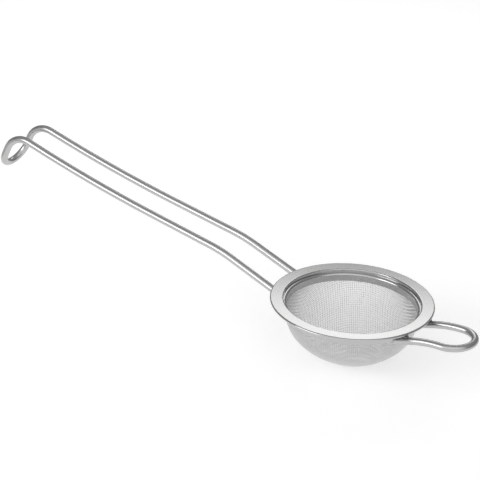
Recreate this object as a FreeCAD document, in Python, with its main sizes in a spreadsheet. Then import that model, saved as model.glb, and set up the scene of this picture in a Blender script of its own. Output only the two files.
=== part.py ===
"""Tea strainer: a shallow bowl of woven steel cloth held in a stamped rim, with a long handle
bent from one wire and a short rest loop bent from another.

Frame: the rim's flat top lies in the plane z = 0 with its centre at the origin, +Z is up out of
the bowl, the handle runs towards -X and the rest loop towards +X. Lengths are millimetres.
The strainer is welded together and nothing in it moves.
"""
import FreeCAD
import Part
import Sketcher
import math
import os

V = FreeCAD.Vector
doc = FreeCAD.newDocument("tea_strainer")

# ---------------------------------------------------------------- driving dimensions
DIMENSIONS = [
    # rim: one stamped ring of sheet, with a collar drawn down inside and a rolled outer edge
    ("rim_radius", 35.0, "outside of the rolled edge"),
    ("throat_radius", 29.2, "inside of the collar"),
    ("sheet_thick", 0.5, "rim sheet"),
    ("throat_bend", 0.6, "visible radius where the flange turns down into the collar"),
    ("collar_depth", 5.4, "bottom edge of the collar, below the rim's top"),
    ("edge_radius", 0.6, "outside radius of the rolled edge"),
    ("edge_return", 1.6, "flat length folded back under the flange"),
    # press ring that traps the cloth inside the collar
    ("press_thick", 0.4, "press ring sheet"),
    ("press_top", 1.5, "top of the press ring, below the rim's top"),
    ("press_bend", 1.1, "radius where the press ring turns out to the collar"),
    ("press_bottom", 5.1, "bottom edge of the press ring, below the rim's top"),
    # woven cloth bowl, as a plain shell of the cloth's true thickness
    ("cloth_thick", 0.5, "two crossing wires"),
    ("bowl_mouth", 28.3, "outside radius where the cloth leaves the collar"),
    ("bowl_depth", 27.2, "outside of the bowl's lowest point, below the rim's top"),
    ("bowl_round", 33.0, "outside radius of the bowl's bottom"),
    ("bowl_shoulder", 16.0, "outside radius of the bowl's shoulder"),
    # handle: one round wire, two legs and a hooked end
    ("handle_wire", 3.2, "wire diameter"),
    ("leg_gap_rim", 18.2, "between the two wire centres at the rim"),
    ("leg_gap_hook", 16.1, "between the two wire centres at the hook"),
    ("edge_clear", 0.12, "least gap between the handle wire and the rolled edge"),
    ("rise_angle", 18.3, "slope of the legs as they leave the rim"),
    ("run_angle", 8.2, "slope of the legs along most of the handle"),
    ("end_angle", 13.7, "slope of the legs where the hook starts"),
    ("elbow_reach", 62.0, "corner between the rise and the run, from the rim's centre"),
    ("elbow_radius", 60.0, "bend radius at that corner"),
    ("sweep_reach", 100.0, "start of the handle's slow upward curve"),
    ("hook_reach", 168.7, "start of the hook bend"),
    ("hook_radius", 10.4, "wire-centre radius of the hook bend"),
    ("hook_turn", 81.6, "how far the hook bend turns down"),
    ("hook_drop", 3.4, "straight wire between the hook bend and its closed end"),
    # rest loop: one round wire
    ("loop_wire", 3.2, "wire diameter"),
    ("loop_gap", 19.0, "between the two wire centres"),
    ("loop_centre", 48.9, "centre of the loop's round end"),
    ("loop_height", 0.95, "wire centre below the rim's top, where the round end starts"),
    ("loop_rise", 17.0, "slope of the loop's legs at the collar"),
    ("loop_tilt", 2.0, "slope of the loop's round end"),
    ("loop_bend", 36.0, "where the loop's legs start to level off"),
    # spot welds between the wires and the rolled edge
    ("weld_radius", 1.1, "size of a weld nugget"),
    ("weld_circle", 33.9, "how far the nuggets sit from the rim's centre"),
]

# Lengths that follow from the driving ones.
DERIVED = [
    ("flange_in", "throat_radius + throat_bend"),
    ("flange_out", "rim_radius - edge_radius"),
    ("edge_height", "2 * edge_radius"),
    ("fold_height", "edge_height - sheet_thick"),
    ("fold_end", "flange_out - edge_return"),
    ("collar_out", "throat_radius + sheet_thick"),
    ("band_out", "throat_radius - 2 * cloth_thick"),
    ("band_in", "band_out - press_thick"),
    ("press_crown", "band_in + press_bend"),
    ("press_side", "press_top + press_bend"),
    ("lip_under", "press_top + press_thick"),
    ("inner_depth", "bowl_depth - cloth_thick"),
    ("inner_round", "bowl_round - cloth_thick"),
    ("inner_shoulder", "bowl_shoulder - cloth_thick"),
]

sheet = doc.addObject("Spreadsheet::Sheet", "dims")
row = 0
for alias, value, note in DIMENSIONS:
    row += 1
    sheet.set(f"A{row}", str(value))
    sheet.setAlias(f"A{row}", alias)
    sheet.set(f"B{row}", note)
for alias, formula in DERIVED:
    row += 1
    sheet.set(f"A{row}", "=" + formula)
    sheet.setAlias(f"A{row}", alias)
doc.recompute()
d = {entry[0]: float(sheet.get(entry[0])) for entry in DIMENSIONS + DERIVED}


# ---------------------------------------------------------------- helpers
def size(name):
    """The value of a cell, of a negated cell such as '-bowl_depth', or nought for '0'."""
    if name == "0":
        return 0.0
    return -d[name[1:]] if name.startswith("-") else d[name]


def cell(name):
    """The expression that reads the same cell."""
    return f"-dims.{name[1:]}" if name.startswith("-") else f"dims.{name}"


def new_body(label):
    body = doc.addObject("PartDesign::Body", label + "_body")
    body.Label = label
    return body


def profile_sketch(body, name):
    """An empty sketch on the body's XZ plane: its x is the radius and its y is the height."""
    plane = next(o for o in body.Origin.OriginFeatures if o.Role == "XZ_Plane")
    sketch = body.newObject("Sketcher::SketchObject", name)
    sketch.AttachmentSupport = [(plane, "")]
    sketch.MapMode = "FlatFace"
    return sketch


def constrain(sketch, kind, *where, name=None):
    """Adds a constraint, and binds it to a cell where it has a size."""
    if name is None:
        sketch.addConstraint(Sketcher.Constraint(kind, *where))
        return
    n = sketch.addConstraint(Sketcher.Constraint(kind, *where, size(name)))
    sketch.setExpression(f"Constraints[{n}]", cell(name))


def pin(sketch, geo, pos, x, y):
    """Fixes a sketch point at (x, y), each the name of a cell or '0'."""
    if x == "0":
        constrain(sketch, "PointOnObject", geo, pos, -2)
    else:
        constrain(sketch, "DistanceX", geo, pos, name=x)
    if y == "0":
        constrain(sketch, "PointOnObject", geo, pos, -1)
    else:
        constrain(sketch, "DistanceY", geo, pos, name=y)


def short_arc(a, b, centre, way):
    """The arc from a to b round a centre: anticlockwise where way is +1."""
    start, end = (a, b) if way > 0 else (b, a)
    first = math.atan2(start.y - centre.y, start.x - centre.x)
    last = math.atan2(end.y - centre.y, end.x - centre.x)
    if last <= first:
        last += 2 * math.pi
    return Part.ArcOfCircle(Part.Circle(centre, V(0, 0, 1), (a - centre).Length), first, last)


def closed_profile(sketch, corners):
    """Draws a closed outline. Each corner is (x, y), where a straight side ends, or
    (x, y, centre x, centre y, way), where an arc ends."""
    points = [V(size(c[0]), size(c[1]), 0) for c in corners]
    ends = []
    for i, corner in enumerate(corners):
        if len(corner) == 2:
            sketch.addGeometry(Part.LineSegment(points[i - 1], points[i]), False)
            ends.append((1, 2))
            continue
        _, _, cx, cy, way = corner
        arc = short_arc(points[i - 1], points[i], V(size(cx), size(cy), 0), way)
        sketch.addGeometry(arc, False)
        ends.append((1, 2) if way > 0 else (2, 1))
    for i, corner in enumerate(corners):
        after = (i + 1) % len(corners)
        constrain(sketch, "Coincident", i, ends[i][1], after, ends[after][0])
        pin(sketch, i, ends[i][1], corner[0], corner[1])
        if len(corner) > 2:
            constrain(sketch, "DistanceX", i, 3, name=corner[2])


def revolve(body, sketch, name):
    doc.recompute()
    turned = body.newObject("PartDesign::Revolution", name)
    turned.Profile = sketch
    turned.ReferenceAxis = (sketch, ["V_Axis"])
    turned.Angle = 360.0
    body.Tip = turned
    doc.recompute()


# ---------------------------------------------------------------- rim
def make_rim():
    """Flat flange, collar drawn down at the throat, and the outer edge rolled under itself."""
    body = new_body("rim_ring")
    sketch = profile_sketch(body, "rim_profile")
    closed_profile(sketch, [
        ("throat_radius", "-collar_depth"),
        ("throat_radius", "-throat_bend"),
        ("flange_in", "0", "flange_in", "-throat_bend", -1),
        ("flange_out", "0"),
        ("flange_out", "-edge_height", "flange_out", "-edge_radius", -1),
        ("fold_end", "-edge_height"),
        ("fold_end", "-fold_height"),
        ("flange_out", "-fold_height"),
        ("flange_out", "-sheet_thick", "flange_out", "-edge_radius", 1),
        ("flange_in", "-sheet_thick"),
        ("collar_out", "-throat_bend", "flange_in", "-throat_bend", 1),
        ("collar_out", "-collar_depth"),
    ])
    revolve(body, sketch, "rim_turned")
    return body


# ---------------------------------------------------------------- press ring
def make_press_ring():
    """Ring pressed into the collar: its band grips the cloth and its lip covers the cut edge."""
    body = new_body("press_ring")
    sketch = profile_sketch(body, "press_profile")
    closed_profile(sketch, [
        ("band_in", "-press_bottom"),
        ("band_in", "-press_side"),
        ("press_crown", "-press_top", "press_crown", "-press_side", -1),
        ("throat_radius", "-press_top"),
        ("throat_radius", "-lip_under"),
        ("press_crown", "-lip_under"),
        ("band_out", "-press_side", "press_crown", "-press_side", 1),
        ("band_out", "-press_bottom"),
    ])
    revolve(body, sketch, "press_turned")
    return body


# ---------------------------------------------------------------- cloth bowl
def bowl_arcs(sketch, mouth, mouth_height, depth, round_radius, shoulder):
    """Draws one skin of the bowl from its mouth down to the axis as two arcs that meet smoothly,
    and returns the two arcs' numbers."""
    lower = V(0, size(round_radius) - size(depth), 0)
    rim = V(size(mouth), -size(mouth_height), 0)
    # The shoulder's centre lies one shoulder radius from the mouth, and the difference of the
    # two radii from the bottom's centre.
    reach = size(round_radius) - size(shoulder)
    across = rim - lower
    along = (across.Length ** 2 + reach ** 2 - size(shoulder) ** 2) / (2 * across.Length)
    off = math.sqrt(reach ** 2 - along ** 2)
    way = V(across).normalize()
    centre = lower + way * along + V(way.y, -way.x, 0) * off
    meet = centre + (centre - lower).normalize() * size(shoulder)
    bend = sketch.addGeometry(short_arc(meet, rim, centre, 1), False)
    low = V(0, -size(depth), 0)
    base = sketch.addGeometry(short_arc(low, meet, lower, 1), False)
    constrain(sketch, "Tangent", bend, 1, base, 2)
    pin(sketch, bend, 2, mouth, "-" + mouth_height)
    pin(sketch, base, 1, "0", "-" + depth)
    constrain(sketch, "PointOnObject", base, 3, -2)
    constrain(sketch, "Radius", base, name=round_radius)
    constrain(sketch, "Radius", bend, name=shoulder)
    return bend, base


def make_bowl():
    """The woven cloth as a shell of its true thickness. Its edge stands upright in the collar,
    folded double, and below the press ring it turns in and down to the bowl."""
    body = new_body("mesh_bowl")
    sketch = profile_sketch(body, "bowl_profile")
    outer, outer_base = bowl_arcs(
        sketch, "bowl_mouth", "collar_depth", "bowl_depth", "bowl_round", "bowl_shoulder"
    )
    inner, inner_base = bowl_arcs(
        sketch, "band_in", "press_bottom", "inner_depth", "inner_round", "inner_shoulder"
    )
    edge = [
        ("throat_radius", "-collar_depth"),
        ("throat_radius", "-press_side"),
        ("band_out", "-press_side"),
        ("band_out", "-press_bottom"),
    ]
    stops = [("bowl_mouth", "-collar_depth")] + edge + [("band_in", "-press_bottom")]
    points = [V(size(x), size(y), 0) for x, y in stops]
    lines = [
        sketch.addGeometry(Part.LineSegment(a, b), False) for a, b in zip(points, points[1:])
    ]
    low = [V(0, -d["inner_depth"], 0), V(0, -d["bowl_depth"], 0)]
    axis = sketch.addGeometry(Part.LineSegment(*low), False)
    constrain(sketch, "Coincident", outer, 2, lines[0], 1)
    for n, (x, y) in enumerate(edge):
        constrain(sketch, "Coincident", lines[n], 2, lines[n + 1], 1)
        pin(sketch, lines[n], 2, x, y)
    constrain(sketch, "Coincident", lines[-1], 2, inner, 2)
    constrain(sketch, "Coincident", inner_base, 1, axis, 1)
    constrain(sketch, "Coincident", axis, 2, outer_base, 1)
    revolve(body, sketch, "bowl_turned")
    return body


# ---------------------------------------------------------------- bent wires
def heading(angle, way):
    """Unit direction in the XZ plane, angle degrees above level, towards way = +1 or -1 in X."""
    a = math.radians(angle)
    return V(way * math.cos(a), 0, math.sin(a))


def arc_from(start, angle, turn, radius, way):
    """A bend in the XZ plane that starts at a slope of angle degrees and turns by turn degrees,
    up where turn is positive. Returns its middle and its end."""
    side = V(-way * math.sin(math.radians(angle)), 0, math.cos(math.radians(angle)))
    side = side * (1 if turn > 0 else -1)
    centre = start + side * radius
    points = []
    for share in (0.5, 1.0):
        now = angle + turn * share
        out = V(-way * math.sin(math.radians(now)), 0, math.cos(math.radians(now)))
        points.append(centre - out * radius * (1 if turn > 0 else -1))
    return points


def wire_path(label, edges):
    """The centre line of a bent wire, kept as an object of its own so that the sweep can use it."""
    path = doc.addObject("Part::Feature", label)
    path.Shape = Part.Wire(edges)
    return path


def mirrored(points):
    return [V(p.x, -p.y, p.z) for p in points]


def swept_wire(label, path, diameter, start, along):
    """A round bar along a path, cut to the collar's outside at both ends."""
    section = doc.addObject("Part::Circle", label + "_section")
    section.setExpression("Radius", f"dims.{diameter} / 2")
    section.Placement = FreeCAD.Placement(start, FreeCAD.Rotation(V(0, 0, 1), along))
    bar = doc.addObject("Part::Sweep", label + "_bar")
    bar.Sections = [section]
    bar.Spine = (path, [f"Edge{i + 1}" for i in range(len(path.Shape.Edges))])
    bar.Solid = True
    bar.Frenet = False
    collar = doc.addObject("Part::Cylinder", label + "_cope")
    collar.setExpression("Radius", "dims.collar_out")
    collar.setExpression("Height", "4 * dims.collar_depth")
    collar.setExpression("Placement.Base.z", "-3 * dims.collar_depth")
    trimmed = doc.addObject("Part::Cut", label + "_trimmed")
    trimmed.Base = bar
    trimmed.Tool = collar
    trimmed.Label = label
    doc.recompute()
    return trimmed


def handle_path():
    """Leg, elbow, run, slow upward sweep, hook bend, closed end, and back down the other leg."""
    half_rim, half_hook = d["leg_gap_rim"] / 2, d["leg_gap_hook"] / 2
    # The wire's top just clears the rolled edge where it passes out from under the rim.
    edge_x = -math.sqrt(d["rim_radius"] ** 2 - half_rim ** 2)
    rise = d["rise_angle"]
    edge_z = -d["edge_height"] - d["edge_clear"]
    edge_z -= d["handle_wire"] / 2 / math.cos(math.radians(rise))
    tan_rise = math.tan(math.radians(rise))
    inside_x = -d["throat_radius"] + d["handle_wire"]
    start = V(inside_x, 0, edge_z + (edge_x - inside_x) * tan_rise)
    corner = V(-d["elbow_reach"], 0, edge_z + (edge_x + d["elbow_reach"]) * tan_rise)
    bend = rise - d["run_angle"]
    setback = d["elbow_radius"] * math.tan(math.radians(bend / 2))
    elbow_start = corner - heading(rise, -1) * setback
    elbow_mid, elbow_end = arc_from(elbow_start, rise, -bend, d["elbow_radius"], -1)
    run = heading(d["run_angle"], -1)
    sweep_start = elbow_end + run * ((d["sweep_reach"] + elbow_end.x) / -run.x)
    lift = d["end_angle"] - d["run_angle"]
    reach = d["hook_reach"] - d["sweep_reach"]
    span = math.sin(math.radians(d["end_angle"])) - math.sin(math.radians(d["run_angle"]))
    sweep_mid, hook_start = arc_from(sweep_start, d["run_angle"], lift, reach / span, -1)
    hook_mid, hook_end = arc_from(
        hook_start, d["end_angle"], -d["hook_turn"], d["hook_radius"], -1
    )
    drop = heading(d["end_angle"] - d["hook_turn"], -1)
    drop_end = hook_end + drop * d["hook_drop"]
    # Both legs lean in slightly: a leg's distance from the middle plane falls evenly with reach.
    lean = (half_rim - half_hook) / (d["hook_reach"] + edge_x)

    def leaning(p):
        return V(p.x, -(half_rim + (p.x - edge_x) * lean), p.z)

    names = [start, elbow_start, elbow_mid, elbow_end, sweep_start, sweep_mid, hook_start,
             hook_mid, hook_end, drop_end]
    near = [leaning(p) for p in names]
    # Closed end: an arc tangent to both drops, in the plane through them.
    last = (near[9] - near[8]).normalize()
    half = -near[9].y
    down = V(last.x, 0, last.z).normalize()
    slant = math.asin(last.y)
    radius = half / math.cos(slant)
    centre = V(near[9].x, 0, near[9].z) + down * (-radius * math.sin(slant))
    tip = centre + down * radius

    def leg(p):
        return [
            Part.LineSegment(p[0], p[1]).toShape(),
            Part.Arc(p[1], p[2], p[3]).toShape(),
            Part.LineSegment(p[3], p[4]).toShape(),
            Part.Arc(p[4], p[5], p[6]).toShape(),
            Part.Arc(p[6], p[7], p[8]).toShape(),
            Part.LineSegment(p[8], p[9]).toShape(),
        ]

    far = mirrored(near)
    edges = leg(near)
    edges.append(Part.Arc(near[9], tip, far[9]).toShape())
    edges += list(reversed(leg(far)))
    return edges, near[0], near[1] - near[0]


def loop_path():
    """Two legs that rise from the collar and level off, joined by a round end."""
    half = d["loop_gap"] / 2
    turn = d["loop_rise"] - d["loop_tilt"]
    joint = V(d["loop_centre"], 0, -d["loop_height"])
    inside_x = d["throat_radius"] - d["loop_wire"]
    # Walking back from the round end, the leg bends down and then runs straight to the collar.
    span = math.sin(math.radians(d["loop_rise"])) - math.sin(math.radians(d["loop_tilt"]))
    radius = (joint.x - d["loop_bend"]) / span
    mid, low = arc_from(joint, -d["loop_tilt"], -turn, radius, -1)
    slope = math.tan(math.radians(d["loop_rise"]))
    start = V(inside_x, 0, low.z - (low.x - inside_x) * slope)
    near = [V(p.x, -half, p.z) for p in (start, low, mid, joint)]
    far = mirrored(near)
    tip = joint + heading(d["loop_tilt"], 1) * half
    edges = [
        Part.LineSegment(near[0], near[1]).toShape(),
        Part.Arc(near[1], near[2], near[3]).toShape(),
        Part.Arc(near[3], tip, far[3]).toShape(),
        Part.Arc(far[3], far[2], far[1]).toShape(),
        Part.LineSegment(far[1], far[0]).toShape(),
    ]
    return edges, near[0], near[1] - near[0]


def make_wire(label, path_maker, diameter):
    edges, start, along = path_maker()
    path = wire_path(label + "_path", edges)
    return swept_wire(label, path, diameter, start, along)


# ---------------------------------------------------------------- spot welds
def make_weld(label, wire, gap, way, side):
    """A weld nugget that fills the wedge between a wire's top and the underside of the rim."""
    post = doc.addObject("Part::Cylinder", label + "_post")
    post.setExpression("Radius", "dims.weld_radius")
    post.setExpression("Height", "2 * dims.weld_radius")
    x = f"{way} * sqrt(dims.weld_circle ^ 2 - (dims.{gap} / 2) ^ 2)"
    post.setExpression("Placement.Base.x", x)
    post.setExpression("Placement.Base.y", f"{side} * dims.{gap} / 2")
    post.setExpression("Placement.Base.z", "-dims.edge_height - 2 * dims.weld_radius")
    nugget = doc.addObject("Part::Cut", label + "_cut")
    nugget.Base = post
    nugget.Tool = wire
    nugget.Label = label
    doc.recompute()
    return nugget


# ---------------------------------------------------------------- build, check and write
rim = make_rim()
press = make_press_ring()
bowl = make_bowl()
handle = make_wire("handle_wire", handle_path, "handle_wire")
loop = make_wire("rest_loop", loop_path, "loop_wire")
welds = [
    make_weld("handle_weld_near", handle, "leg_gap_rim", -1, -1),
    make_weld("handle_weld_far", handle, "leg_gap_rim", -1, 1),
    make_weld("loop_weld_near", loop, "loop_gap", 1, -1),
    make_weld("loop_weld_far", loop, "loop_gap", 1, 1),
]
doc.recompute()

for item in doc.Objects:
    if {"Invalid", "Error"} & set(item.State):
        raise RuntimeError(f"{item.Label} failed to build: {item.State}")

os.makedirs("parts", exist_ok=True)
for item in [rim, press, bowl, handle, loop] + welds:
    shape = item.Shape
    if shape.isNull() or not shape.isValid() or not shape.Solids:
        raise RuntimeError(f"{item.Label} is not a valid solid")
    box = shape.optimalBoundingBox(False)
    print(f"{item.Label}: {len(shape.Solids)} solid, {shape.Volume:.1f} mm3, "
          f"z {box.ZMin:.2f} to {box.ZMax:.2f}, x {box.XMin:.2f} to {box.XMax:.2f}")
    shape.exportStep(os.path.join("parts", item.Label + ".step"))

for wire, diameter in ((handle, "handle_wire"), (loop, "loop_wire")):
    path = wire.Base.Spine[0].Shape
    section = math.pi * d[diameter] ** 2 / 4
    print(f"{wire.Label}: centre line {path.Length:.1f} mm, bar {wire.Base.Shape.Volume:.1f} mm3, "
          f"section times length {section * path.Length:.1f} mm3")
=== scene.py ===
# %% [markdown]
# # A tea strainer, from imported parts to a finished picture
# The strainer is all stainless steel: a stamped rim, a press ring, a bowl of woven wire cloth, and
# two bent wires, one for the handle and one for the rest loop. This lesson loads the parts, weaves
# the cloth wire by wire, dresses the welds, and gives every surface its own finish.

# %% Load the parts
import math

import bmesh
import bpy
from mathutils import Matrix, Vector, noise


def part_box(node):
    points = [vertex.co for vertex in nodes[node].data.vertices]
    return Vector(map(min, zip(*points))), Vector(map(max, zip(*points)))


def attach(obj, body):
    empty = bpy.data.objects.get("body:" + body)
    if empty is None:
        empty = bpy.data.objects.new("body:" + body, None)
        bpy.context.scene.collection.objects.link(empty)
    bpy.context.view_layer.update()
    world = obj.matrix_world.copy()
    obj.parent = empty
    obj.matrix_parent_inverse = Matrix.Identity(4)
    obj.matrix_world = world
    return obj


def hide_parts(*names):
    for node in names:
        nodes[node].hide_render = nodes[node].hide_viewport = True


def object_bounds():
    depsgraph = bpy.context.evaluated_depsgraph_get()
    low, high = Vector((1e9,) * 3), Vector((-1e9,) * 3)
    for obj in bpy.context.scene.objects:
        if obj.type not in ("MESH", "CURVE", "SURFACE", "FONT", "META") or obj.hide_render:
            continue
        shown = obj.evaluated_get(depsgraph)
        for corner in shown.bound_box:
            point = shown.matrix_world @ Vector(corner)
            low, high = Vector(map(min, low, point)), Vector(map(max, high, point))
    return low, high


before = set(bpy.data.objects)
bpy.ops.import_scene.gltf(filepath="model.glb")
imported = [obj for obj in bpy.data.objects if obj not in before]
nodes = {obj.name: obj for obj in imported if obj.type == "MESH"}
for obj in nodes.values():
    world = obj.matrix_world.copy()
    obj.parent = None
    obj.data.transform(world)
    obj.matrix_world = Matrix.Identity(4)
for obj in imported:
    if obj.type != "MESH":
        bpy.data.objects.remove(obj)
cad_box = [list(corner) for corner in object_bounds()]
scene = bpy.context.scene
MM = 0.001
print("parts:", ", ".join(sorted(nodes)))

# %% [markdown]
# ## The camera
# A long lens a little over a metre away keeps the handle's two legs almost parallel, as a product
# picture does. The camera is set by its distance, the angle it stands round to, the angle it looks
# down by and a small roll. It doesn't aim at the middle of the bowl: it is slid aside so that the
# whole strainer fills the frame from corner to corner.

# %% Camera
CAMERA_ROUND = math.radians(33.02)
CAMERA_DOWN = math.radians(26.24)
CAMERA_ROLL = math.radians(3.52)
CAMERA_AWAY = 1.0978
CAMERA_LENS = 195.0
RIM_ASIDE = 0.0475    # the rim's centre lies this far right of the view's middle
RIM_BELOW = 0.0254    # and this far below it


def camera_axes():
    """The camera's right, up and backward directions."""
    back = Vector((
        math.sin(CAMERA_ROUND) * math.cos(CAMERA_DOWN),
        -math.cos(CAMERA_ROUND) * math.cos(CAMERA_DOWN),
        math.sin(CAMERA_DOWN),
    ))
    level = Vector((math.cos(CAMERA_ROUND), math.sin(CAMERA_ROUND), 0))
    right = level * math.cos(CAMERA_ROLL) + back.cross(level) * math.sin(CAMERA_ROLL)
    return right, back.cross(right), back


right, up, back = camera_axes()
camera = bpy.data.objects.new("camera", bpy.data.cameras.new("camera"))
scene.collection.objects.link(camera)
camera.data.lens = CAMERA_LENS
camera.location = back * CAMERA_AWAY - right * RIM_ASIDE + up * RIM_BELOW
camera.rotation_euler = Matrix((right, up, back)).transposed().to_euler()
scene.camera = camera
print("camera at", [round(c, 4) for c in camera.location])

# %% [markdown]
# ## The shape that the cloth lies on
# The cloth was pressed over a former, so it follows one smooth bowl: a round bottom, a tighter
# shoulder, and above that a short upright edge caught between the press ring and the collar. The
# bowl's depth and the width of its edge are read from the part; the mouth and the two radii are the
# former's. `cloth_point` says where a spot lands that is `u` and `v` away from the bowl's lowest
# point, measured along the cloth the way it is laid out flat.

# %% The former
bowl_low, bowl_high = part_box("mesh_bowl")
CLOTH_THICK = 0.5 * MM
WIRE = CLOTH_THICK / 2                  # two wires cross in the cloth's thickness
BOTTOM_RADIUS = 33.0 * MM - WIRE        # radii run to the middle of the cloth's thickness
SHOULDER_RADIUS = 16.0 * MM - WIRE
MOUTH_RADIUS = 28.3 * MM - WIRE
MOUTH_HEIGHT = -5.4 * MM
EDGE_RADIUS = bowl_high[0] - WIRE
EDGE_SLANT = math.sqrt(0.5)             # from the mouth out to the edge at 45 degrees
CLOTH_TOP = bowl_high[2] - 0.2 * MM     # the wires stop just below the part's upper edge
bottom_centre = bowl_low[2] + WIRE + BOTTOM_RADIUS


def shoulder_centre():
    """The shoulder's centre, in from the mouth and tangent inside the bottom's curve."""
    reach = BOTTOM_RADIUS - SHOULDER_RADIUS
    across = Vector((MOUTH_RADIUS, MOUTH_HEIGHT - bottom_centre))
    along = (across.length_squared + reach ** 2 - SHOULDER_RADIUS ** 2) / (2 * across.length)
    off = math.sqrt(reach ** 2 - along ** 2)
    way = across.normalized()
    return Vector((0, bottom_centre)) + way * along + Vector((way.y, -way.x)) * off


shoulder = shoulder_centre()
bottom_turn = math.atan2(shoulder.x, bottom_centre - shoulder.y)
bottom_run = BOTTOM_RADIUS * bottom_turn
mouth_turn = math.atan2(MOUTH_RADIUS - shoulder.x, shoulder.y - MOUTH_HEIGHT)
mouth_run = bottom_run + SHOULDER_RADIUS * (mouth_turn - bottom_turn)


def former_line(run):
    """Radius, height and slope (an angle from level) at a distance along the cloth."""
    if run < bottom_run:
        turn = run / BOTTOM_RADIUS
        return (
            BOTTOM_RADIUS * math.sin(turn),
            bottom_centre - BOTTOM_RADIUS * math.cos(turn),
            turn,
        )
    if run < mouth_run:
        turn = bottom_turn + (run - bottom_run) / SHOULDER_RADIUS
        return (
            shoulder.x + SHOULDER_RADIUS * math.sin(turn),
            shoulder.y - SHOULDER_RADIUS * math.cos(turn),
            turn,
        )
    past = run - mouth_run
    step = EDGE_RADIUS - MOUTH_RADIUS
    slanted = step / EDGE_SLANT
    if past < slanted:
        return MOUTH_RADIUS + past * EDGE_SLANT, MOUTH_HEIGHT + past * EDGE_SLANT, math.pi / 4
    return EDGE_RADIUS, MOUTH_HEIGHT + step + past - slanted, math.pi / 2


def cloth_point(u, v):
    """The spot on the former, and the direction square to the cloth, out of the bowl."""
    run = math.hypot(u, v)
    radius, height, slope = former_line(run)
    cu, cv = (u / run, v / run) if run else (1.0, 0.0)
    spot = Vector((radius * cu, radius * cv, height))
    outward = Vector((math.sin(slope) * cu, math.sin(slope) * cv, -math.cos(slope)))
    return spot, outward


print(f"the cloth runs {mouth_run / MM:.1f} mm from the bowl's lowest point to its mouth")

# %% [markdown]
# ## Laying the cloth
# Woven wire hardly stretches. It goes round a bowl because its square holes shear into diamonds,
# as a fishing net does when it is draped over a ball. So the crossings are placed the way such a
# net falls: two wires cross at the bowl's lowest point and run straight up its sides, and every
# other crossing is found from its two neighbours, one pitch away from each. One quarter is enough,
# because the other three are its mirror images.

# %% Find every crossing
PITCH = 0.82 * MM
EDGE_ROOM = 6 * MM          # more than the cloth's edge needs above the mouth
HALF_COUNT = int((mouth_run + EDGE_ROOM) / PITCH)
MOST_STEPS = 8              # tries at a crossing before its place is taken as found
NUDGE = 1e-6                # metres moved to feel how a distance changes
CLOSE_ENOUGH = 1e-9         # metres
TOO_FLAT = 1e-6             # below this two neighbours lie in line and fix no crossing


def settle(first, second, guess):
    """The (u, v) that is one pitch from two neighbouring crossings, by Newton's method."""
    u, v = guess
    for _ in range(MOST_STEPS):
        here = cloth_point(u, v)[0]
        over = cloth_point(u + NUDGE, v)[0]
        beside = cloth_point(u, v + NUDGE)[0]
        miss = Vector(((here - first).length - PITCH, (here - second).length - PITCH))
        by_u = Vector(((over - first).length - PITCH, (over - second).length - PITCH)) - miss
        by_v = Vector(((beside - first).length - PITCH, (beside - second).length - PITCH)) - miss
        det = (by_u.x * by_v.y - by_v.x * by_u.y) / NUDGE
        if abs(det) < TOO_FLAT * NUDGE:
            return None
        du = (miss.x * by_v.y - miss.y * by_v.x) / det
        dv = (miss.y * by_u.x - miss.x * by_u.y) / det
        u -= du
        v -= dv
        if abs(du) + abs(dv) < CLOSE_ENOUGH:
            break
    return u, v


def lay_quarter():
    """(column, row) to (u, v) for every crossing in one quarter of the cloth."""
    net = {}
    for n in range(HALF_COUNT):
        if cloth_point(n * PITCH, 0)[0].z < CLOTH_TOP:
            net[n, 0] = (n * PITCH, 0.0)
            net[0, n] = (0.0, n * PITCH)
    for row in range(1, HALF_COUNT):
        for column in range(1, HALF_COUNT):
            corner = [net.get(key) for key in (
                (column - 1, row), (column, row - 1), (column - 1, row - 1)
            )]
            if None in corner:
                continue
            left, below, diagonal = corner
            guess = (left[0] + below[0] - diagonal[0], left[1] + below[1] - diagonal[1])
            spot = settle(cloth_point(*left)[0], cloth_point(*below)[0], guess)
            if spot and cloth_point(*spot)[0].z < CLOTH_TOP:
                net[column, row] = spot
    return net


quarter = lay_quarter()
angles = []
for (column, row), spot in quarter.items():
    if column and row:
        here = cloth_point(*spot)[0]
        one = cloth_point(*quarter[column - 1, row])[0] - here
        two = cloth_point(*quarter[column, row - 1])[0] - here
        angles.append(math.degrees(one.angle(two)))
print(
    f"{len(quarter)} crossings in a quarter,",
    f"cells from {min(angles):.0f} to {max(angles):.0f} degrees",
)

# %% [markdown]
# ## Weaving the wires
# Each wire is a curve with a round bevel, which is how a bent wire is quickest to make. Its control
# points sit at the crossings, pushed in and out of the cloth by turns, and the smooth spline
# between them gives the crimp of a real plain weave. The two families of wires, warp and weft, swap
# sides at every crossing, so neither passes through the other. Every family is kept as two halves,
# so that no piece grows too heavy. The finished bowl isn't quite true: it sags a little towards the
# rest loop, by nothing at its mouth and most at its lowest point.

# %% Weave
WEAVE_TURN = math.radians(33)   # the cloth was laid in the former turned by this much
SAG = 0.9 * MM                  # towards the rest loop, at the bowl's lowest point
FEWEST_POINTS = 4               # a shorter wire would be a loose snippet at the edge


def crossing(column, row):
    """The crossing's place and outward direction in the whole cloth, or None off its edge."""
    flat = quarter.get((abs(column), abs(row)))
    if flat is None:
        return None
    u, v = math.copysign(flat[0], column or 1), math.copysign(flat[1], row or 1)
    spot, outward = cloth_point(u, v)
    laid = Matrix.Rotation(WEAVE_TURN, 3, "Z")
    deep = max(0.0, (MOUTH_HEIGHT - spot.z) / (MOUTH_HEIGHT - bowl_low[2]))
    return laid @ spot + Vector((SAG * deep, 0, 0)), laid @ outward


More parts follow.
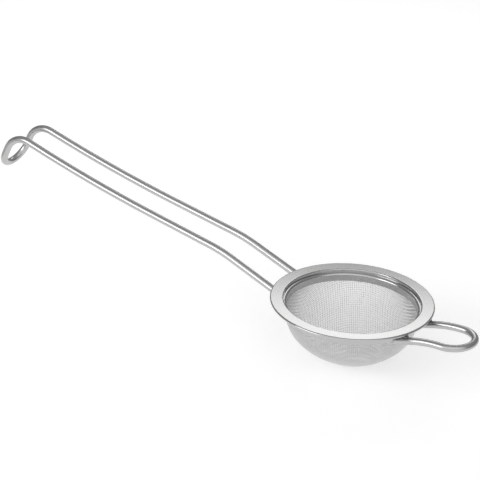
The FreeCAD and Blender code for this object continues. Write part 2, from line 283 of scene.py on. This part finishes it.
def wire_points(line, family):
    """The control points of one wire: line counts the wires; family is 0 for warp, 1 for weft."""
    points = []
    for step in range(-HALF_COUNT, HALF_COUNT + 1):
        place = (step, line) if family == 0 else (line, step)
        found = crossing(*place)
        if found:
            side = 1 if (step + line + family) % 2 else -1
            points.append(found[0] + found[1] * WIRE * side)
    return points


def weave(name, family, lines):
    """One piece: the wires of a family whose numbers are in lines."""
    curve = bpy.data.curves.new(name, "CURVE")
    curve.dimensions = "3D"
    curve.bevel_depth = WIRE / 2
    curve.bevel_resolution = 1
    curve.resolution_u = 3
    curve.use_fill_caps = True
    for line in lines:
        points = wire_points(line, family)
        if len(points) < FEWEST_POINTS:
            continue
        spline = curve.splines.new("NURBS")
        spline.points.add(len(points) - 1)
        for point, co in zip(spline.points, points):
            point.co = (*co, 1)
        spline.order_u = 3
        spline.use_endpoint_u = True
    shape = bpy.data.objects.new(name + "_curve", curve)
    scene.collection.objects.link(shape)
    bpy.context.view_layer.update()
    smooth = shape.evaluated_get(bpy.context.evaluated_depsgraph_get())
    mesh = bpy.data.meshes.new_from_object(smooth)
    bpy.data.objects.remove(shape)
    piece = bpy.data.objects.new(name, mesh)
    scene.collection.objects.link(piece)
    mesh.name = name
    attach(piece, "root")
    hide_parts("mesh_bowl")
    mesh.calc_loop_triangles()
    print(f"{name}: {len(curve.splines)} wires, {len(mesh.loop_triangles)} triangles")
    return piece


left_half = range(-HALF_COUNT, 0)
right_half = range(0, HALF_COUNT + 1)
cloth = [
    weave("warp_wires_left", 0, left_half),
    weave("warp_wires_right", 0, right_half),
    weave("weft_wires_left", 1, left_half),
    weave("weft_wires_right", 1, right_half),
]

# %% [markdown]
# ## Weld nuggets
# Each wire end was pressed against the rolled edge and melted to it for an instant. What is left is
# a small lump that has run into the corner between the wire and the rim. A ball, squashed and
# pushed about by a little noise, is the right start for something that has no edges.

# %% Weld nuggets
NUGGET_SIZE = 1.0 * MM
NUGGET_SQUASH = (1.0, 1.15, 0.62)   # along the wire, across it, and upwards
LUMP_SIZE = 0.9 * MM
LUMP_HEIGHT = 0.16 * MM


def weld_nugget(node):
    """A lump that replaces a weld's plain peg."""
    low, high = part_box(node)
    middle = (Vector(low) + Vector(high)) / 2
    shape = bmesh.new()
    bmesh.ops.create_icosphere(shape, subdivisions=4, radius=NUGGET_SIZE)
    bmesh.ops.scale(shape, vec=NUGGET_SQUASH, verts=shape.verts)
    bmesh.ops.translate(shape, vec=middle, verts=shape.verts)
    for vert in shape.verts:
        lump = noise.noise(vert.co / LUMP_SIZE)
        vert.co += vert.normal * lump * LUMP_HEIGHT
    mesh = bpy.data.meshes.new(node + "_lump")
    shape.to_mesh(mesh)
    shape.free()
    mesh.shade_smooth()
    piece = bpy.data.objects.new(node + "_lump", mesh)
    scene.collection.objects.link(piece)
    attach(piece, "root")
    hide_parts(node)
    return piece


welds = [weld_nugget(name) for name in sorted(nodes) if "_weld_" in name]
print("welds:", len(welds))

# %% [markdown]
# ## Finishes
# All of it is the same steel, so what tells the pieces apart is how each was worked. Every finish
# is a metal whose roughness and tiny surface relief come from a noise pattern, stretched the way
# the tool ran: round the rim, along the wires, and in no direction on the welds.

# %% A steel finish
DULLEST = 0.93    # the darkest tone in a finish, as a share of its colour


def node_in(tree, kind, **settings):
    """Adds a shader node and sets its properties."""
    made = tree.nodes.new(kind)
    for name, value in settings.items():
        setattr(made, name, value)
    return made


def steel(name, colour, roughness, spread, relief, pattern):
    """A steel whose pattern(tree, coordinates) gives a value from 0 to 1 that moves its roughness
    by spread, and lifts its surface by relief metres."""
    finish = bpy.data.materials.new(name)
    finish.use_nodes = True
    tree = finish.node_tree
    shader = tree.nodes["Principled BSDF"]
    shader.inputs["Metallic"].default_value = 1.0
    shader.inputs["Specular Tint"].default_value = (1, 1, 1, 1)
    coordinates = node_in(tree, "ShaderNodeTexCoord")
    value = pattern(tree, coordinates.outputs["Object"])
    rough = node_in(tree, "ShaderNodeMapRange")
    rough.inputs["To Min"].default_value = roughness - spread
    rough.inputs["To Max"].default_value = roughness + spread
    tree.links.new(value, rough.inputs["Value"])
    tree.links.new(rough.outputs["Result"], shader.inputs["Roughness"])
    tone = node_in(tree, "ShaderNodeMix", data_type="RGBA")
    tone.inputs["A"].default_value = (*[c * DULLEST for c in colour], 1)
    tone.inputs["B"].default_value = (*colour, 1)
    tree.links.new(value, tone.inputs["Factor"])
    tree.links.new(tone.outputs["Result"], shader.inputs["Base Color"])
    bump = node_in(tree, "ShaderNodeBump")
    bump.inputs["Distance"].default_value = relief
    tree.links.new(value, bump.inputs["Height"])
    tree.links.new(bump.outputs["Normal"], shader.inputs["Normal"])
    return finish


# %% Patterns
def streaks(scale):
    """Noise stretched by a scale along each axis."""
    def pattern(tree, coordinates):
        mapping = node_in(tree, "ShaderNodeMapping")
        mapping.inputs["Scale"].default_value = scale
        tree.links.new(coordinates, mapping.inputs["Vector"])
        grain = node_in(tree, "ShaderNodeTexNoise")
        grain.inputs["Scale"].default_value = 1.0
        grain.inputs["Detail"].default_value = 4.0
        tree.links.new(mapping.outputs["Vector"], grain.inputs["Vector"])
        return grain.outputs["Fac"]
    return pattern


def rings(across, along):
    """Noise in fine rings round the upright axis: across is how fine, along how long."""
    def pattern(tree, coordinates):
        flat = node_in(tree, "ShaderNodeVectorMath", operation="MULTIPLY")
        flat.inputs[1].default_value = (1, 1, 0)
        tree.links.new(coordinates, flat.inputs[0])
        radius = node_in(tree, "ShaderNodeVectorMath", operation="LENGTH")
        tree.links.new(flat.outputs["Vector"], radius.inputs[0])
        way = node_in(tree, "ShaderNodeVectorMath", operation="NORMALIZE")
        tree.links.new(flat.outputs["Vector"], way.inputs[0])
        parts = node_in(tree, "ShaderNodeSeparateXYZ")
        tree.links.new(coordinates, parts.inputs["Vector"])
        depth = node_in(tree, "ShaderNodeMath", operation="ADD")
        tree.links.new(radius.outputs["Value"], depth.inputs[0])
        tree.links.new(parts.outputs["Z"], depth.inputs[1])
        fine = node_in(tree, "ShaderNodeMath", operation="MULTIPLY")
        fine.inputs[1].default_value = across
        tree.links.new(depth.outputs["Value"], fine.inputs[0])
        long = node_in(tree, "ShaderNodeVectorMath", operation="SCALE")
        long.inputs["Scale"].default_value = along
        tree.links.new(way.outputs["Vector"], long.inputs[0])
        lift = node_in(tree, "ShaderNodeCombineXYZ")
        tree.links.new(fine.outputs["Value"], lift.inputs["Z"])
        place = node_in(tree, "ShaderNodeVectorMath", operation="ADD")
        tree.links.new(long.outputs["Vector"], place.inputs[0])
        tree.links.new(lift.outputs["Vector"], place.inputs[1])
        grain = node_in(tree, "ShaderNodeTexNoise")
        grain.inputs["Scale"].default_value = 1.0
        grain.inputs["Detail"].default_value = 3.0
        tree.links.new(place.outputs["Vector"], grain.inputs["Vector"])
        return grain.outputs["Fac"]
    return pattern


# %% Finishes for each piece
rim_finish = steel(
    "rim_satin", (0.52, 0.52, 0.515), roughness=0.18, spread=0.03, relief=0.0003 * MM,
    pattern=rings(across=4500, along=3.0),
)
press_finish = steel(
    "press_satin", (0.5, 0.5, 0.5), roughness=0.16, spread=0.03, relief=0.001 * MM,
    pattern=rings(across=6000, along=4.0),
)
wire_finish = steel(
    "drawn_wire", (0.52, 0.52, 0.52), roughness=0.26, spread=0.05, relief=0.001 * MM,
    pattern=streaks((60, 3500, 3500)),
)
cloth_finish = steel(
    "cloth_wire", (0.76, 0.76, 0.76), roughness=0.32, spread=0.08, relief=0.003 * MM,
    pattern=streaks((2500, 2500, 2500)),
)
weld_finish = steel(
    "weld_steel", (0.2, 0.2, 0.2), roughness=0.45, spread=0.12, relief=0.02 * MM,
    pattern=streaks((2200, 2200, 2200)),
)


def dress(things, finish):
    """Gives every thing the finish and nothing else."""
    for thing in things:
        thing.data.materials.clear()
        thing.data.materials.append(finish)


dress([nodes["rim_ring"]], rim_finish)
dress([nodes["press_ring"]], press_finish)
dress([nodes["handle_wire"], nodes["rest_loop"]], wire_finish)
dress(cloth, cloth_finish)
dress(welds, weld_finish)

# %% [markdown]
# ## Studio
# Steel shows mostly what is around it, so the studio is built for its reflections. The floor is
# white paper that reaches far past the picture. Under the strainer it glows softly, as a light
# table does, which keeps shadows faint and puts a light line along the underside of every wire.
# The sky is a quiet grey that is brightest in front, where the rim's flat catches it. A large panel
# at the front left is the main light, and a small one behind lifts the far side of the rim.

# %% Floor
FLOOR_GAP = 0.1 * MM            # between the bowl's lowest point and the paper
FLOOR_REACH = 4.0
POOL_CENTRE = (-0.131, 0.1055)  # beyond the strainer's middle, as the camera sees it
POOL_SIZE = (0.1475, 0.3)       # half the glow's width and half its depth
POOL_FADE = 1.3                 # how many times as far out it has died away
POOL_GLOW = 0.42                # the emission's strength inside it


def pool_of_light(tree):
    """How strongly each spot glows: a soft-edged rectangle that is square to the camera."""
    place = node_in(tree, "ShaderNodeTexCoord")
    pool = node_in(tree, "ShaderNodeMapping", vector_type="TEXTURE")
    pool.inputs["Location"].default_value = (*POOL_CENTRE, 0)
    pool.inputs["Rotation"].default_value = (0, 0, CAMERA_ROUND)
    pool.inputs["Scale"].default_value = (*POOL_SIZE, 1)
    tree.links.new(place.outputs["Object"], pool.inputs["Vector"])
    off_centre = node_in(tree, "ShaderNodeVectorMath", operation="ABSOLUTE")
    tree.links.new(pool.outputs["Vector"], off_centre.inputs[0])
    sides = node_in(tree, "ShaderNodeSeparateXYZ")
    tree.links.new(off_centre.outputs["Vector"], sides.inputs["Vector"])
    furthest = node_in(tree, "ShaderNodeMath", operation="MAXIMUM")
    tree.links.new(sides.outputs["X"], furthest.inputs[0])
    tree.links.new(sides.outputs["Y"], furthest.inputs[1])
    fade = node_in(tree, "ShaderNodeMapRange", interpolation_type="SMOOTHSTEP")
    fade.inputs["From Min"].default_value = 1.0
    fade.inputs["From Max"].default_value = POOL_FADE
    fade.inputs["To Min"].default_value = POOL_GLOW
    fade.inputs["To Max"].default_value = 0.0
    tree.links.new(furthest.outputs["Value"], fade.inputs["Value"])
    return fade.outputs["Result"]


floor_mesh = bpy.data.meshes.new("floor")
shape = bmesh.new()
bmesh.ops.create_grid(shape, x_segments=1, y_segments=1, size=FLOOR_REACH)
bmesh.ops.translate(shape, vec=(0, 0, cad_box[0][2] - FLOOR_GAP), verts=shape.verts)
shape.to_mesh(floor_mesh)
shape.free()
floor = bpy.data.objects.new("floor", floor_mesh)
scene.collection.objects.link(floor)
floor_finish = bpy.data.materials.new("floor_paper")
floor_finish.use_nodes = True
paper_tree = floor_finish.node_tree
paper = paper_tree.nodes["Principled BSDF"]
paper.inputs["Base Color"].default_value = (0.85, 0.85, 0.85, 1)
paper.inputs["Roughness"].default_value = 0.9
paper.inputs["Emission Color"].default_value = (1, 1, 1, 1)
paper_tree.links.new(pool_of_light(paper_tree), paper.inputs["Emission Strength"])
floor.data.materials.append(floor_finish)


# %% Lights
def panel(name, place, aim, width, height, power):
    """A soft rectangular light at place that faces aim."""
    light = bpy.data.lights.new(name, "AREA")
    light.shape = "RECTANGLE"
    light.size = width
    light.size_y = height
    light.energy = power
    holder = bpy.data.objects.new(name, light)
    scene.collection.objects.link(holder)
    holder.location = place
    holder.rotation_euler = (Vector(aim) - Vector(place)).to_track_quat("-Z", "Y").to_euler()
    return holder


panel("front_left", (-0.45, -0.8, 0.34), (-0.05, 0, 0.02), width=0.6, height=0.5, power=2.8)
panel("back_card", (-0.2, 0.307, 0.25), (0, 0, 0), width=0.24, height=0.12, power=0.15)

# %% Surroundings
SKY_BASE = 0.3
world = bpy.data.worlds.new("studio")
scene.world = world
world.use_nodes = True
tree = world.node_tree
view = node_in(tree, "ShaderNodeTexCoord")


def lobe(before, way, start, end, amount):
    """Adds amount to the sky's brightness in the directions that lie near way.

    How far a direction lies along way runs from -1, straight away from it, to 1. The extra
    brightness begins at start and is full at end."""
    along = node_in(tree, "ShaderNodeVectorMath", operation="DOT_PRODUCT")
    along.inputs[1].default_value = Vector(way).normalized()
    tree.links.new(view.outputs["Generated"], along.inputs[0])
    amounts = node_in(tree, "ShaderNodeMapRange", interpolation_type="SMOOTHSTEP")
    amounts.inputs["From Min"].default_value = start
    amounts.inputs["From Max"].default_value = end
    amounts.inputs["To Max"].default_value = amount
    tree.links.new(along.outputs["Value"], amounts.inputs["Value"])
    total = node_in(tree, "ShaderNodeMath", operation="ADD")
    tree.links.new(before, total.inputs[0])
    tree.links.new(amounts.outputs["Result"], total.inputs[1])
    return total.outputs["Value"]


base = node_in(tree, "ShaderNodeValue")
base.outputs["Value"].default_value = SKY_BASE
bright = lobe(base.outputs["Value"], (0.5, -0.8, 0.4), start=0.4, end=0.9, amount=0.8)
bright = lobe(bright, (0, 0, 1), start=0.3, end=0.9, amount=0.1)
surroundings = tree.nodes["Background"]
surroundings.inputs["Color"].default_value = (1, 1, 1, 1)
tree.links.new(bright, surroundings.inputs["Strength"])
scene.view_settings.view_transform = "Standard"
